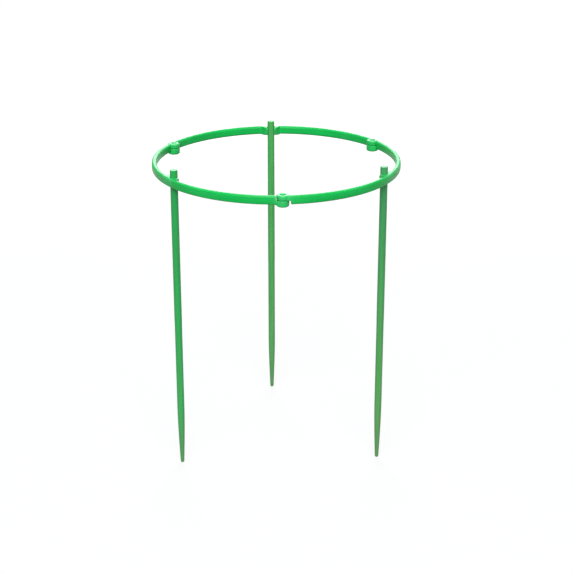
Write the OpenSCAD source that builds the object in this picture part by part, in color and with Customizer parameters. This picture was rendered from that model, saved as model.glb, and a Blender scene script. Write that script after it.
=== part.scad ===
// Plant support: a ring of three snap-together arcs, held up by three stakes that slide in clips.
// The origin is on the ring's axis, level with the stakes' points. +Z is up.
// One joint of the ring is at -Y, and the stake opposite it is at +Y.

/* [Ring] */
// Outside diameter of the closed ring
ring_d = 200; // [150:1:300]
// Radial thickness of the ring's band
band_t = 4; // [3.4:0.1:6]
// Height of the band
band_h = 7; // [6:0.1:10]
// Rounding of the band's four edges
band_round = 1.8; // [0.3:0.05:1.8]
// Bulge of the band's outer face at mid height
band_crown = 0.35; // [0.1:0.05:0.8]

/* [Snap joints] */
// How far a joint's axis lies inside the middle of the band
lug_inset = 2; // [0:0.1:2.6]
// Diameter of a plug
plug_d = 6.4; // [5.6:0.1:8]
// Wall of a plug around its hollow
plug_wall = 1.1; // [0.8:0.05:2]
// Diameter of the dimple in the top of a lug
dimple_d = 4.6; // [3:0.1:6]
// Depth of the dimple
dimple_depth = 0.7; // [0.4:0.1:1.6]
// Web between the dimple and the hollow of the plug below it
plug_web = 1; // [0.6:0.1:1.4]
// Height of the snap bead around a plug
bead_h = 0.2; // [0.1:0.05:0.4]
// Wall of a cup around its plug
cup_wall = 1.65; // [1.2:0.05:2.4]
// Closed bottom of a cup
cup_floor = 1; // [0.6:0.1:2]
// How far a cup reaches below the band
cup_drop = 2; // [1.4:0.1:4]
// Height of the round lug that carries a plug
lug_h = 3.8; // [3:0.1:5]
// Rounding of a lug's top edge
lug_round = 1.2; // [0.3:0.05:1.5]
// Rounding of a cup's bottom edge
cup_round = 1.3; // [0.3:0.05:1.4]
// Bevel of the two edges that meet where a lug laps over a cup
lap_bevel = 0.6; // [0.2:0.05:0.8]
// How far the gusset that carries a cup runs out under the band
gusset_run = 1.7; // [0.5:0.1:4]
// Thickness of the gusset
gusset_t = 3; // [1:0.1:3.2]
// Running clearance of a plug in its cup, on the radius
joint_clear = 0.05; // [0.02:0.01:0.1]
// Gap between a lug and the rim of the cup below it
lap_gap = 0.15; // [0.1:0.05:0.4]
// Gap between the end of a plug and the floor of its cup
plug_end_gap = 0.3; // [0.2:0.05:0.6]
// Gap between a lug and the end of the band beside it
lug_end_gap = 0.2; // [0.15:0.05:1.6]
// Gap between a cup and the end of the band beside it
cup_end_gap = 1.1; // [0.5:0.05:2]
// Clearance of the plug in the mouth of the cup where the ring is opened, on each side
mouth_clear = 0.2; // [0.1:0.05:0.4]

/* [Stake clips] */
// Thickness of a clip's arms at their round tips
arm_t = 1.4; // [1:0.1:2.4]
// Rounding of a clip's arms above and below, at their tips
clip_round = 2.7; // [0.5:0.1:2.8]
// Angle that a clip wraps around its stake
clip_wrap = 262; // [220:1:290]
// How much wider a clip is at the band than at its tips, on each side
clip_spread = 4; // [1:0.1:8]
// How deep a stake beds into the band
bed_depth = 1.05; // [0.2:0.05:1.6]
// Running clearance of a stake in its clip, on the radius
slide_clear = 0.05; // [0.02:0.01:0.1]
// Lead-in at both ends of a clip's groove
groove_lead = 0.4; // [0.2:0.05:0.8]

/* [Stakes] */
// Length of a stake from top to point
stake_len = 254; // [200:1:400]
// Diameter of the length that slides in the clip
stake_d = 6; // [5:0.1:9]
// How far a stake stands above the ring
stake_stand = 5.55; // [2:0.05:30]
// Rounding of a stake's top edge
top_round = 0.5; // [0.2:0.05:1]
// How much slimmer the lower shank is, on the diameter
shank_slim = 0.15; // [0.05:0.05:0.4]
// Length of the lower shank
shank_len = 70; // [40:1:90]
// Length of the slope from the shank up to the full diameter
slope_len = 8; // [4:1:20]
// Length of the tapered point
point_len = 50; // [30:1:70]
// Diameter of the blunt end of the point
point_d = 3; // [2:0.1:4]
// Rounding of the blunt end
point_round = 1.2; // [0.4:0.1:1.4]

/* [Hidden] */
$fn = 48;
ring_fn = 360;
edge_fn = 32;
arc_count = 3;
arc_steps = 6;
point_steps = 10;
// Exponent of the point's curve: 1 is a straight cone, and more leaves the shank more gently
point_bulge_share = 1.6;
// Half the bead's width along the plug, as a share of the plug's wall
bead_r_share = 0.4;
// Most of the band's thickness that the rounding of an edge may take
band_edge_share = 0.45;
// Most of a cup's wall that the rounding of its edge may take
edge_share = 0.9;
// Radius inside a cup's rounded edge that the slope of its gusset runs up to, as a share of the rounding
slope_share = 0.85;
overrun = 1;

half_turn = 180;
arc_span = 2 * half_turn / arc_count;
rear_turn = half_turn / 2;
arc_green = [0.11, 0.70, 0.31];
stake_green = [0.30, 0.64, 0.36];

// Ring
ring_r = ring_d / 2;
band_in_r = ring_r - band_t;
pitch_r = ring_r - band_t / 2;
band_half = band_h / 2;
crown_r = (band_half * band_half + band_crown * band_crown) / (2 * band_crown);
band_edge = min(band_round, band_t * band_edge_share);

// Snap joints
joint_r = pitch_r - lug_inset;
plug_r = plug_d / 2;
bead_r = plug_wall * bead_r_share;
cup_bore_r = plug_r + joint_clear;
lug_r = cup_bore_r + cup_wall;
cup_edge = min(cup_round, cup_wall * edge_share);
dimple_z = band_h - dimple_depth;
lap_z = band_h - lug_h;
cup_rim_z = lap_z - lap_gap;
cup_floor_z = cup_floor - cup_drop;
plug_end_z = cup_floor_z + plug_end_gap;
bead_z = (plug_end_z + cup_rim_z) / 2;
mouth_r = plug_r + bead_h + mouth_clear;

// Stake clips
stake_r = stake_d / 2;
groove_r = stake_r + slide_clear;
stake_circle_r = band_in_r + bed_depth - groove_r;
arm_r = arm_t / 2;
arm_turn = clip_wrap / 2 - asin(arm_r / (groove_r + arm_r));
arm_x = stake_circle_r + (groove_r + arm_r) * cos(arm_turn);
arm_y = (groove_r + arm_r) * sin(arm_turn);
clip_base_y = arm_y + arm_r + clip_spread;
clip_in_r = arm_x - arm_r;

// Stakes
band_z = stake_len - stake_stand - band_h;
shank_r = stake_r - shank_slim / 2;
point_r = point_d / 2;
shank_top_z = point_len + shank_len;

function arc_points(centre, r, from, to) =
    [for (i = [0:arc_steps]) let (a = from + (to - from) * i / arc_steps) centre + r * [cos(a), sin(a)]];

// Radius of the point at a share of its length above the blunt end
function point_r_at(share) = shank_r - (shank_r - point_r) * pow(1 - share, point_bulge_share);

// Section of the band: flat inside, crowned outside, with all four edges round
module band_section() {
    intersection() {
        union() {
            for (r = [band_in_r + band_edge, ring_r - band_edge], z = [band_edge, band_h - band_edge])
                translate([r, z]) circle(band_edge, $fn = edge_fn);
            translate([band_in_r, band_edge]) square([band_t, band_h - 2 * band_edge]);
            translate([band_in_r + band_edge, 0]) square([band_t - 2 * band_edge, band_h]);
        }
        translate([ring_r - crown_r, band_half]) circle(crown_r, $fn = ring_fn);
    }
}

// Half of the section of a round bar, bevelled at zero height and rounded at its other end
module rounded_bar(r, h, round_r) {
    polygon([[0, 0], [r - lap_bevel, 0], [r, lap_bevel], [r, h - round_r], [r - round_r, h], [0, h]]);
    translate([r - round_r, h - round_r]) circle(round_r);
}

// Point where a line from a base touches a round tip
function flank_touch(base, tip, r) =
    let (d = tip - base, away = norm(d), turn = atan2(d[1], d[0]) - asin(r / away))
    base + sqrt(away * away - r * r) * [cos(turn), sin(turn)];

// Plan of a stake clip, without its groove
module clip_plan() {
    tip = [arm_x, arm_y];
    base = [band_in_r, clip_base_y];
    touch = flank_touch(base, tip, arm_r);
    half = [[pitch_r, 0], [pitch_r, clip_base_y], base, touch, tip, [arm_x, 0]];
    for (side = [0, 1]) mirror([0, side]) {
        polygon(half);
        translate(tip) circle(arm_r);
    }
}

// Section of a stake clip: as high as the band, and round above and below towards its tips
module clip_section() {
    reach = pitch_r + overrun - clip_in_r;
    translate([clip_in_r, clip_round]) square([reach, band_h - 2 * clip_round]);
    translate([clip_in_r + clip_round, 0]) square([reach - clip_round, band_h]);
    for (z = [clip_round, band_h - clip_round])
        translate([clip_in_r + clip_round, z]) circle(clip_round, $fn = edge_fn);
}

// Stake clip on the middle of an arc, without its groove
module stake_clip() {
    intersection() {
        linear_extrude(band_h) clip_plan();
        rotate(-arc_span / 2) rotate_extrude(angle = arc_span, $fn = ring_fn) clip_section();
    }
}

// Groove that a stake slides in, with a lead-in at both ends
module stake_groove() {
    lead_r = groove_r + groove_lead;
    translate([stake_circle_r, 0, 0]) {
        translate([0, 0, -overrun]) cylinder(r = groove_r, h = band_h + 2 * overrun);
        translate([0, 0, band_h - groove_lead]) cylinder(r1 = groove_r, r2 = lead_r, h = groove_lead);
        cylinder(r1 = lead_r, r2 = groove_r, h = groove_lead);
    }
}

// Stands at the joint on one end of an arc: side -1 is the clockwise end and 1 the other.
// +X there points out of the ring, and +Y leaves the arc.
module at_joint(side) {
    rotate(side * arc_span / 2) translate([joint_r, 0, 0]) mirror([0, side < 0 ? 1 : 0]) children();
}

// Cuts the band off square at a distance from the joint, between two heights
module end_cut(away, low_z, high_z) {
    turn = asin(away / joint_r);
    translate([-joint_r, 0, low_z]) rotate(-turn) rotate_extrude(angle = 2 * turn, $fn = ring_fn)
        translate([band_in_r - overrun, 0]) square([band_t + 2 * overrun, high_z - low_z]);
}

// Round lug, flush with the top of the band, with a plug below it and a snap bead around the plug
module plug_lug() {
    rotate_extrude() {
        translate([0, lap_z]) rounded_bar(lug_r, lug_h, lug_round);
        translate([0, plug_end_z]) square([plug_r, lap_z - plug_end_z]);
        translate([plug_r + bead_h - bead_r, bead_z]) circle(bead_r);
    }
}

// Dimple in the top of a lug, and the hollow of the plug below it
module plug_hollow() {
    translate([0, 0, dimple_z]) cylinder(d = dimple_d, h = dimple_depth + overrun);
    translate([0, 0, plug_end_z - overrun])
        cylinder(r = plug_r - plug_wall, h = dimple_z - plug_web - plug_end_z + overrun);
}

// Slope from the bottom of the band down to the rounded edge of the cup that the band carries
module gusset() {
    edge = [lug_r - cup_edge, cup_drop - cup_edge];
    foot = [lug_r + gusset_run, 0];
    touch = flank_touch(foot, edge, cup_edge * slope_share);
    slope = [[0, -band_edge], [foot[0], -band_edge], foot, touch, edge, [0, edge[1]]];
    intersection() {
        rotate_extrude() mirror([0, 1]) polygon(slope);
        translate([-joint_r, 0, -cup_drop]) rotate(-arc_span) rotate_extrude(angle = arc_span, $fn = ring_fn)
            translate([pitch_r - gusset_t / 2, 0]) square([gusset_t, cup_drop + band_h]);
    }
}

// Round cup below the band, with its gusset
module cup_lug() {
    rotate_extrude() translate([0, cup_rim_z]) mirror([0, 1])
        rounded_bar(lug_r, cup_rim_z + cup_drop, cup_edge);
    gusset();
}

// Bore of a cup that a plug turns in, with a groove for the snap bead
module cup_bore() {
    rotate_extrude() {
        translate([0, cup_floor_z]) square([cup_bore_r, cup_rim_z - cup_floor_z + overrun]);
        translate([plug_r + bead_h - bead_r, bead_z]) circle(bead_r + joint_clear);
    }
}

// Mouth in the wall of a cup, through which the plug leaves when the ring is opened
module cup_mouth() {
    translate([-mouth_r, 0, cup_floor_z])
        cube([2 * mouth_r, lug_r + overrun, cup_rim_z - cup_floor_z + overrun]);
}

// Band of an arc, cut back at both ends to leave room for the neighbour's lug or cup
module band(ends) {
    difference() {
        rotate(-arc_span / 2) rotate_extrude(angle = arc_span, $fn = ring_fn) band_section();
        for (i = [0, 1]) at_joint(2 * i - 1)
            if (ends[i] == "plug") end_cut(lug_r + cup_end_gap, -overrun, lap_z);
            else end_cut(lug_r + lug_end_gap, cup_rim_z, band_h + overrun);
    }
}

// A third of the ring. Each end, clockwise one first, is a "plug", a "cup" or an "open cup".
module arc(turn, ends) {
    translate([0, 0, band_z]) rotate(turn) difference() {
        union() {
            band(ends);
            stake_clip();
            for (i = [0, 1]) at_joint(2 * i - 1) if (ends[i] == "plug") plug_lug(); else cup_lug();
        }
        stake_groove();
        for (i = [0, 1]) at_joint(2 * i - 1) {
            if (ends[i] == "plug") plug_hollow(); else cup_bore();
            if (ends[i] == "open cup") cup_mouth();
        }
    }
}

// Round stake with a rounded top, a slightly slimmer lower shank and a tapered blunt point
module stake(turn) {
    blunt = arc_points([point_r - point_round, point_round], point_round, -rear_turn, 0);
    taper = [for (i = [1:point_steps]) let (share = i / point_steps)
        [point_r_at(share), point_round + (point_len - point_round) * share]];
    rod = [[shank_r, shank_top_z], [stake_r, shank_top_z + slope_len]];
    top = arc_points([stake_r - top_round, stake_len - top_round], top_round, 0, rear_turn);
    rotate(turn) translate([stake_circle_r, 0, 0])
        rotate_extrude() polygon(concat([[0, 0]], blunt, taper, rod, top, [[0, stake_len]]));
}

module right_arc() { color(arc_green) arc(rear_turn - arc_span, ["plug", "cup"]); }
module rear_arc() { color(arc_green) arc(rear_turn, ["plug", "plug"]); }
module left_arc() { color(arc_green) arc(rear_turn + arc_span, ["open cup", "cup"]); }
module right_stake() { color(stake_green) stake(rear_turn - arc_span); }
module rear_stake() { color(stake_green) stake(rear_turn); }
module left_stake() { color(stake_green) stake(rear_turn + arc_span); }

right_arc();
rear_arc();
left_arc();
right_stake();
rear_stake();
left_stake();
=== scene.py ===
"""Looks of a plant support: a ring of three snap-jointed arcs held up by three upright stakes."""

import math

import bpy
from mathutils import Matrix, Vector


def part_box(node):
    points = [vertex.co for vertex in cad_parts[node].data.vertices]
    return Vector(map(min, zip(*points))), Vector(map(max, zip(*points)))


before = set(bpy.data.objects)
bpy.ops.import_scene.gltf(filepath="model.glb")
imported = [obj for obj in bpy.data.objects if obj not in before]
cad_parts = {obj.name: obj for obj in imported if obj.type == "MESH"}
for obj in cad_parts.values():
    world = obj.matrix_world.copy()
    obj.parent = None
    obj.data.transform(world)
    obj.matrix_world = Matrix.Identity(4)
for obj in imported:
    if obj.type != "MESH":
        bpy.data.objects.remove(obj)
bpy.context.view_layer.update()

MM = 0.001
WHITE = (1, 1, 1, 1)

# Camera, where the photograph was taken from
CAMERA_PLACE = Vector((-0.0535, -1.0894, 0.5704))
CAMERA_AIM = Vector((0.0082, 0.0, 0.1369))
CAMERA_LENS = 88.45
CAMERA_SENSOR = 36.0

# Studio: a pale floor that fades into a white world between two distances from the ring's axis
WORLD_LIGHT = 0.18
SEEN_WHITE = 1.0
FLOOR_SIZE = 3.0
FLOOR_COLOR = (0.14, 0.14, 0.14, 1)
FLOOR_GLOW = 0.82
FLOOR_FADE = (0.5, 1.1)

# Lamps: a softbox in front, and a panel behind and a strip overhead that the ring's top reflects
NEUTRAL_LIGHT = (1.0, 1.0, 1.0)
COOL_LIGHT = (0.88, 0.90, 1.0)
SOFTBOX_PLACE = Vector((-0.25, -2.3, 1.75))
SOFTBOX_SIZE = (2.6, 1.4)
SOFTBOX_POWER = 84.0
PANEL_PLACE = Vector((0.1, 1.5, 1.0))
PANEL_SIZE = (1.0, 1.3)
PANEL_POWER = 21.0
STRIP_PLACE = Vector((0.0, -0.1, 2.3))
STRIP_SIZE = (0.45, 1.9)
STRIP_POWER = 20.0

# Places on the part. Joints and clips take turns round the ring, a sixth of it apart.
ARCS = ("right_arc", "rear_arc", "left_arc")
STAKES = ("right_stake", "rear_stake", "left_stake")
BAND_HEIGHT = 7.0 * MM
RING_TOP = max(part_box(name)[1][2] for name in ARCS)
RING_MID = RING_TOP - BAND_HEIGHT / 2
RING_RADIUS = max(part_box(name)[1][1] for name in ARCS)
JOINT_TURN = math.radians(30)
HALF_SIXTH = math.radians(30)

# What both plastics share: how deep a mould line is, and the noise levels between which they turn dull
SEAM_DEPTH = 0.03 * MM
DULL_SPAN = (0.3, 0.7)

# Arc plastic: bright green, semi-gloss
ARC_GREEN = (0.005, 0.485, 0.083, 1)
ARC_DEEP = (0.003, 0.435, 0.070, 1)
ARC_PALE = (0.030, 0.550, 0.130, 1)
# Painted highlight: the paler green laid on the band at the joints and clips
ARC_PAINTED_HIGHLIGHT = (0.070, 0.570, 0.190, 1)
ARC_ROUGHNESS = (0.30, 0.42)
ARC_SPECULAR = 0.18
ARC_EDGE = 0.9 * MM
ARC_EDGE_SAMPLES = 6

# Marks in the arc plastic. Scales are in cells a metre, and each mark comes in over its span.
ARC_STREAKS = {"scale": 420.0, "detail": 3.0}
ARC_STREAK_STRETCH = 0.12
ARC_STREAK_SPAN = (0.35, 0.7)
ARC_STREAK_DEPTH = 0.02 * MM
ARC_PATCHES = {"scale": 45.0}
ARC_PATCH_SPAN = (0.4, 0.75)
ARC_PATCH_SHARE = 0.3
ARC_SPECKS = {"scale": 1500.0, "detail": 1.0}
ARC_SPECK_SPAN = (0.62, 0.78)
ARC_SPECK_SHARE = 0.25
ARC_GRAIN = {"scale": 2600.0, "roughness": 0.6}
ARC_GRAIN_DEPTH = 0.012 * MM
# How far the painted highlight reaches from the joints and clips, and how strong it is there
ARC_HIGHLIGHT_SPAN = (3.5 * MM, 9.0 * MM)
ARC_HIGHLIGHT_SHARE = 0.6
ARC_SEAM_HALF_WIDTH = 0.12 * MM
ARC_SEAM_SHARE = 0.25

# Stake plastic: duller green, satin. Each stake has its own green, partly a real difference between
# mouldings and partly painted reflection, and each is darker at the ring than at the foot, a painted shade
# from the band above.
STAKE_GREENS_WITH_PAINTED_LIGHT = {
    "left_stake": ((0.017, 0.372, 0.082, 1), (0.050, 0.457, 0.112, 1)),
    "rear_stake": ((0.070, 0.404, 0.096, 1), (0.117, 0.448, 0.132, 1)),
    "right_stake": ((0.052, 0.318, 0.104, 1), (0.112, 0.418, 0.105, 1)),
}
STAKE_DEEP = (0.030, 0.300, 0.060, 1)
STAKE_SCUFF = (0.130, 0.300, 0.120, 1)
STAKE_ROUGHNESS = (0.34, 0.48)
STAKE_SPECULAR = 0.26

# Marks in the stake plastic, written as those of the arcs are
STAKE_STREAKS = {"scale": 900.0, "detail": 3.0}
STAKE_STREAK_STRETCH = 0.03
STAKE_STREAK_SPAN = (0.3, 0.6)
STAKE_STREAK_SHARE = 0.5
STAKE_PATCHES = {"scale": 60.0}
STAKE_FADED_HEIGHT = 0.12
STAKE_FADED_SHARE = 0.4
STAKE_SCRATCHES = {"scale": 2400.0, "roughness": 0.7}
STAKE_SCRATCH_STRETCH = 0.15
STAKE_SCRATCH_SPAN = (0.42, 0.6)
STAKE_SCRATCH_DEPTH = 0.01 * MM
STAKE_WORN_HEIGHT = 0.055
STAKE_GRAIN = {"scale": 2200.0, "roughness": 0.6}
STAKE_GRAIN_DEPTH = 0.015 * MM
STAKE_SEAM_SLANT = 0.3
STAKE_SEAM_HALF_WIDTH = 0.1 * MM
STAKE_SEAM_SHARE = 0.3


def add(tree, kind, **settings):
    """A new node of that kind, with its own settings."""
    node = tree.nodes.new(kind)
    for name, value in settings.items():
        setattr(node, name, value)
    return node


def feed(tree, socket, value):
    """Links a socket to another, or sets it to a plain value."""
    if isinstance(value, bpy.types.NodeSocket):
        tree.links.new(value, socket)
    else:
        socket.default_value = value


def calculate(tree, operation, *values, clamp=False):
    """A math node on sockets or numbers."""
    node = add(tree, "ShaderNodeMath", operation=operation, use_clamp=clamp)
    for socket, value in zip(node.inputs, values):
        feed(tree, socket, value)
    return node.outputs[0]


def ramp(tree, value, low, high, to_low=0.0, to_high=1.0):
    """Eases from to_low to to_high as the value goes from low to high."""
    node = add(tree, "ShaderNodeMapRange", interpolation_type="SMOOTHSTEP")
    for socket, number in zip(node.inputs, (value, low, high, to_low, to_high)):
        feed(tree, socket, number)
    return node.outputs[0]


def noise(tree, place, scale, detail=2.0, roughness=0.5):
    """Noise of that many cells a metre."""
    node = add(tree, "ShaderNodeTexNoise")
    feed(tree, node.inputs["Vector"], place)
    node.inputs["Scale"].default_value = scale
    node.inputs["Detail"].default_value = detail
    node.inputs["Roughness"].default_value = roughness
    return node.outputs["Fac"]


def blend(tree, share, first, second):
    """A colour between two others."""
    node = add(tree, "ShaderNodeMix", data_type="RGBA")
    feed(tree, node.inputs["Factor"], share)
    feed(tree, node.inputs["A"], first)
    feed(tree, node.inputs["B"], second)
    return node.outputs["Result"]


def bump(tree, height, depth, normal=None):
    """A surface raised by height times depth, in metres."""
    node = add(tree, "ShaderNodeBump")
    node.inputs["Strength"].default_value = 1.0
    node.inputs["Distance"].default_value = depth
    feed(tree, node.inputs["Height"], height)
    if normal is not None:
        feed(tree, node.inputs["Normal"], normal)
    return node.outputs["Normal"]


def softened(tree, radius, samples):
    """The surface with its edges rounded off by that radius, as a mould leaves them."""
    node = add(tree, "ShaderNodeBevel", samples=samples)
    node.inputs["Radius"].default_value = radius
    return node.outputs["Normal"]


def vector(tree, x, y, z):
    """A vector made of three values."""
    node = add(tree, "ShaderNodeCombineXYZ")
    for socket, value in zip(node.inputs, (x, y, z)):
        feed(tree, socket, value)
    return node.outputs[0]


def row_frame(tree):
    """The place on the part, and its x, y and z, in metres."""
    place = add(tree, "ShaderNodeTexCoord").outputs["Object"]
    split = add(tree, "ShaderNodeSeparateXYZ")
    feed(tree, split.inputs[0], place)
    return place, *split.outputs


def distance_from_axis(tree, x, y):
    """How far a place is from the ring's axis."""
    squares = [calculate(tree, "POWER", value, 2.0) for value in (x, y)]
    return calculate(tree, "SQRT", calculate(tree, "ADD", *squares))


def line_at(tree, distance, half_width):
    """1 on a thin line where the distance is nought, 0 away from it."""
    return ramp(tree, calculate(tree, "ABSOLUTE", distance), 0.0, half_width, 1.0, 0.0)


def new_material(name):
    """A material, its node tree and its shader."""
    material = bpy.data.materials.new(name)
    material.use_nodes = True
    return material, material.node_tree, material.node_tree.nodes["Principled BSDF"]


def painted_highlight_share(tree, turn):
    """How strong the painted highlight is, most at the joints and clips and not at all away from them."""
    nearest = calculate(tree, "PINGPONG", calculate(tree, "SUBTRACT", turn, JOINT_TURN), HALF_SIXTH)
    distance = calculate(tree, "MULTIPLY", nearest, RING_RADIUS)
    return ramp(tree, distance, *ARC_HIGHLIGHT_SPAN, ARC_HIGHLIGHT_SHARE, 0.0)


def make_arc_plastic():
    """Moulded plastic whose flow marks follow the ring, with a painted highlight that makes it paler at the
    joints and clips.
    """
    material, tree, shader = new_material("arc_plastic_moulded")
    place, x, y, z = row_frame(tree)
    turn = calculate(tree, "ARCTAN2", y, x)
    along = calculate(tree, "MULTIPLY", turn, RING_RADIUS * ARC_STREAK_STRETCH)
    streaks = noise(tree, vector(tree, along, distance_from_axis(tree, x, y), z), **ARC_STREAKS)
    patches = noise(tree, place, **ARC_PATCHES)
    specks = noise(tree, place, **ARC_SPECKS)
    grain = noise(tree, place, **ARC_GRAIN)
    highlighted = calculate(tree, "MULTIPLY", painted_highlight_share(tree, turn), patches)
    seam = line_at(tree, calculate(tree, "SUBTRACT", z, RING_MID), ARC_SEAM_HALF_WIDTH)

    color = blend(tree, ramp(tree, streaks, *ARC_STREAK_SPAN), ARC_DEEP, ARC_GREEN)
    color = blend(tree, ramp(tree, patches, *ARC_PATCH_SPAN, 0.0, ARC_PATCH_SHARE), color, ARC_PALE)
    color = blend(tree, ramp(tree, specks, *ARC_SPECK_SPAN, 0.0, ARC_SPECK_SHARE), color, ARC_PALE)
    # Painted highlight: paler green at the joints and clips
    color = blend(tree, highlighted, color, ARC_PAINTED_HIGHLIGHT)
    color = blend(tree, calculate(tree, "MULTIPLY", seam, ARC_SEAM_SHARE), color, ARC_PALE)
    feed(tree, shader.inputs["Base Color"], color)

    feed(tree, shader.inputs["Roughness"], ramp(tree, streaks, *DULL_SPAN, *ARC_ROUGHNESS))
    shader.inputs["Specular IOR Level"].default_value = ARC_SPECULAR
    normal = bump(tree, grain, ARC_GRAIN_DEPTH, softened(tree, ARC_EDGE, ARC_EDGE_SAMPLES))
    normal = bump(tree, streaks, ARC_STREAK_DEPTH, normal)
    feed(tree, shader.inputs["Normal"], bump(tree, seam, SEAM_DEPTH, normal))
    return material


def stake_marks(tree, name, x, y, z):
    """Streaks and scratches drawn out along a stake, and its two mould lines."""
    low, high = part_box(name)
    off_x = calculate(tree, "SUBTRACT", x, (low[0] + high[0]) / 2)
    off_y = calculate(tree, "SUBTRACT", y, (low[1] + high[1]) / 2)
    streak_z = calculate(tree, "MULTIPLY", z, STAKE_STREAK_STRETCH)
    streaks = noise(tree, vector(tree, off_x, off_y, streak_z), **STAKE_STREAKS)
    scratch_z = calculate(tree, "MULTIPLY", z, STAKE_SCRATCH_STRETCH)
    scratches = noise(tree, vector(tree, off_x, off_y, scratch_z), **STAKE_SCRATCHES)
    from_seam = calculate(tree, "ADD", off_x, calculate(tree, "MULTIPLY", off_y, STAKE_SEAM_SLANT))
    return streaks, scratches, line_at(tree, from_seam, STAKE_SEAM_HALF_WIDTH)


def make_stake_plastic(name):
    """Satin plastic with two mould lines along the rod, fading and scuffed towards the point."""
    material, tree, shader = new_material(f"{name}_plastic_moulded")
    place, x, y, z = row_frame(tree)
    streaks, scratches, seam = stake_marks(tree, name, x, y, z)
    patches = noise(tree, place, **STAKE_PATCHES)
    grain = noise(tree, place, **STAKE_GRAIN)
    fade = ramp(tree, z, 0.0, STAKE_FADED_HEIGHT, STAKE_FADED_SHARE, 0.0)
    faded = calculate(tree, "MULTIPLY", fade, patches)
    wear = ramp(tree, z, 0.0, STAKE_WORN_HEIGHT, 1.0, 0.0)
    worn = calculate(tree, "MULTIPLY", wear, ramp(tree, scratches, *STAKE_SCRATCH_SPAN))

    # Each stake's own green is partly a real difference between mouldings and partly painted reflection
    shaded_at_ring, at_foot = STAKE_GREENS_WITH_PAINTED_LIGHT[name]
    # Painted shade: darker towards the ring, where the band shades the stake
    color = blend(tree, ramp(tree, z, 0.0, RING_TOP), at_foot, shaded_at_ring)
    color = blend(tree, ramp(tree, streaks, *STAKE_STREAK_SPAN, STAKE_STREAK_SHARE, 0.0), color, STAKE_DEEP)
    color = blend(tree, faded, color, STAKE_SCUFF)
    color = blend(tree, worn, color, STAKE_SCUFF)
    color = blend(tree, calculate(tree, "MULTIPLY", seam, STAKE_SEAM_SHARE), color, STAKE_SCUFF)
    feed(tree, shader.inputs["Base Color"], color)

    feed(tree, shader.inputs["Roughness"], ramp(tree, streaks, *DULL_SPAN, *STAKE_ROUGHNESS))
    shader.inputs["Specular IOR Level"].default_value = STAKE_SPECULAR
    normal = bump(tree, grain, STAKE_GRAIN_DEPTH)
    normal = bump(tree, scratches, STAKE_SCRATCH_DEPTH, normal)
    feed(tree, shader.inputs["Normal"], bump(tree, seam, SEAM_DEPTH, normal))
    return material


def paint(node, material):
    """Gives a solid of the frame one material all over."""
    node.data.materials.clear()
    node.data.materials.append(material)


def ray_shows_backdrop(tree):
    """1 for rays that show the backdrop, to the camera or in a reflection, 0 for rays that light."""
    path = add(tree, "ShaderNodeLightPath")
    direct = calculate(tree, "ADD", path.outputs["Is Camera Ray"], path.outputs["Is Glossy Ray"], clamp=True)
    return calculate(tree, "ADD", direct, path.outputs["Is Transmission Ray"], clamp=True)


def make_world():
    """White where it is seen, softer where it lights."""
    world = bpy.data.worlds.new("studio")
    world.use_nodes = True
    tree = world.node_tree
    shows = ray_shows_backdrop(tree)
    strength = calculate(tree, "MULTIPLY_ADD", shows, SEEN_WHITE - WORLD_LIGHT, WORLD_LIGHT)
    background = tree.nodes["Background"]
    background.inputs["Color"].default_value = WHITE
    feed(tree, background.inputs["Strength"], strength)
    bpy.context.scene.world = world


def make_floor_white():
    """A matt white that keeps a faint shadow near the part and glows like the world further out."""
    material, tree, shader = new_material("floor_white")
    shader.inputs["Base Color"].default_value = FLOOR_COLOR
    shader.inputs["Roughness"].default_value = 1.0
    shader.inputs["Specular IOR Level"].default_value = 0.0
    shader.inputs["Emission Color"].default_value = WHITE
    _, x, y, _ = row_frame(tree)
    glow = ramp(tree, distance_from_axis(tree, x, y), *FLOOR_FADE, FLOOR_GLOW, SEEN_WHITE)
    seen_glow = calculate(tree, "MULTIPLY", ray_shows_backdrop(tree), glow)
    feed(tree, shader.inputs["Emission Strength"], seen_glow)
    return material


def make_floor():
    """A square floor under the stakes' points."""
    half = FLOOR_SIZE / 2
    mesh = bpy.data.meshes.new("floor")
    corners = [(-half, -half, 0), (half, -half, 0), (half, half, 0), (-half, half, 0)]
    mesh.from_pydata(corners, [], [(0, 1, 2, 3)])
    mesh.materials.append(make_floor_white())
    floor = bpy.data.objects.new("floor", mesh)
    bpy.context.collection.objects.link(floor)


def aim(thing, target):
    """Turns a camera or lamp at its place to face the target."""
    thing.rotation_euler = (target - thing.location).to_track_quat("-Z", "Y").to_euler()


def make_lamp(name, place, size, power, color):
    """A rectangular lamp that faces the part and that the camera doesn't see."""
    light = bpy.data.lights.new(name, "AREA")
    light.shape = "RECTANGLE"
    light.size, light.size_y = size
    light.energy = power
    light.color = color
    lamp = bpy.data.objects.new(name, light)
    bpy.context.collection.objects.link(lamp)
    lamp.location = place
    lamp.visible_camera = False
    aim(lamp, CAMERA_AIM)


def make_camera():
    """The photograph's view."""
    lens = bpy.data.cameras.new("camera")
    lens.sensor_width = CAMERA_SENSOR
    lens.lens = CAMERA_LENS
    camera = bpy.data.objects.new("camera", lens)
    bpy.context.collection.objects.link(camera)
    camera.location = CAMERA_PLACE
    aim(camera, CAMERA_AIM)
    bpy.context.scene.camera = camera


make_camera()
make_world()
make_floor()
make_lamp("front_softbox", SOFTBOX_PLACE, SOFTBOX_SIZE, SOFTBOX_POWER, NEUTRAL_LIGHT)
make_lamp("rear_panel", PANEL_PLACE, PANEL_SIZE, PANEL_POWER, COOL_LIGHT)
make_lamp("overhead_strip", STRIP_PLACE, STRIP_SIZE, STRIP_POWER, COOL_LIGHT)
bpy.context.scene.view_settings.view_transform = "Standard"

arc_plastic = make_arc_plastic()
for name in ARCS:
    paint(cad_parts[name], arc_plastic)
for name in STAKES:
    paint(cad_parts[name], make_stake_plastic(name))
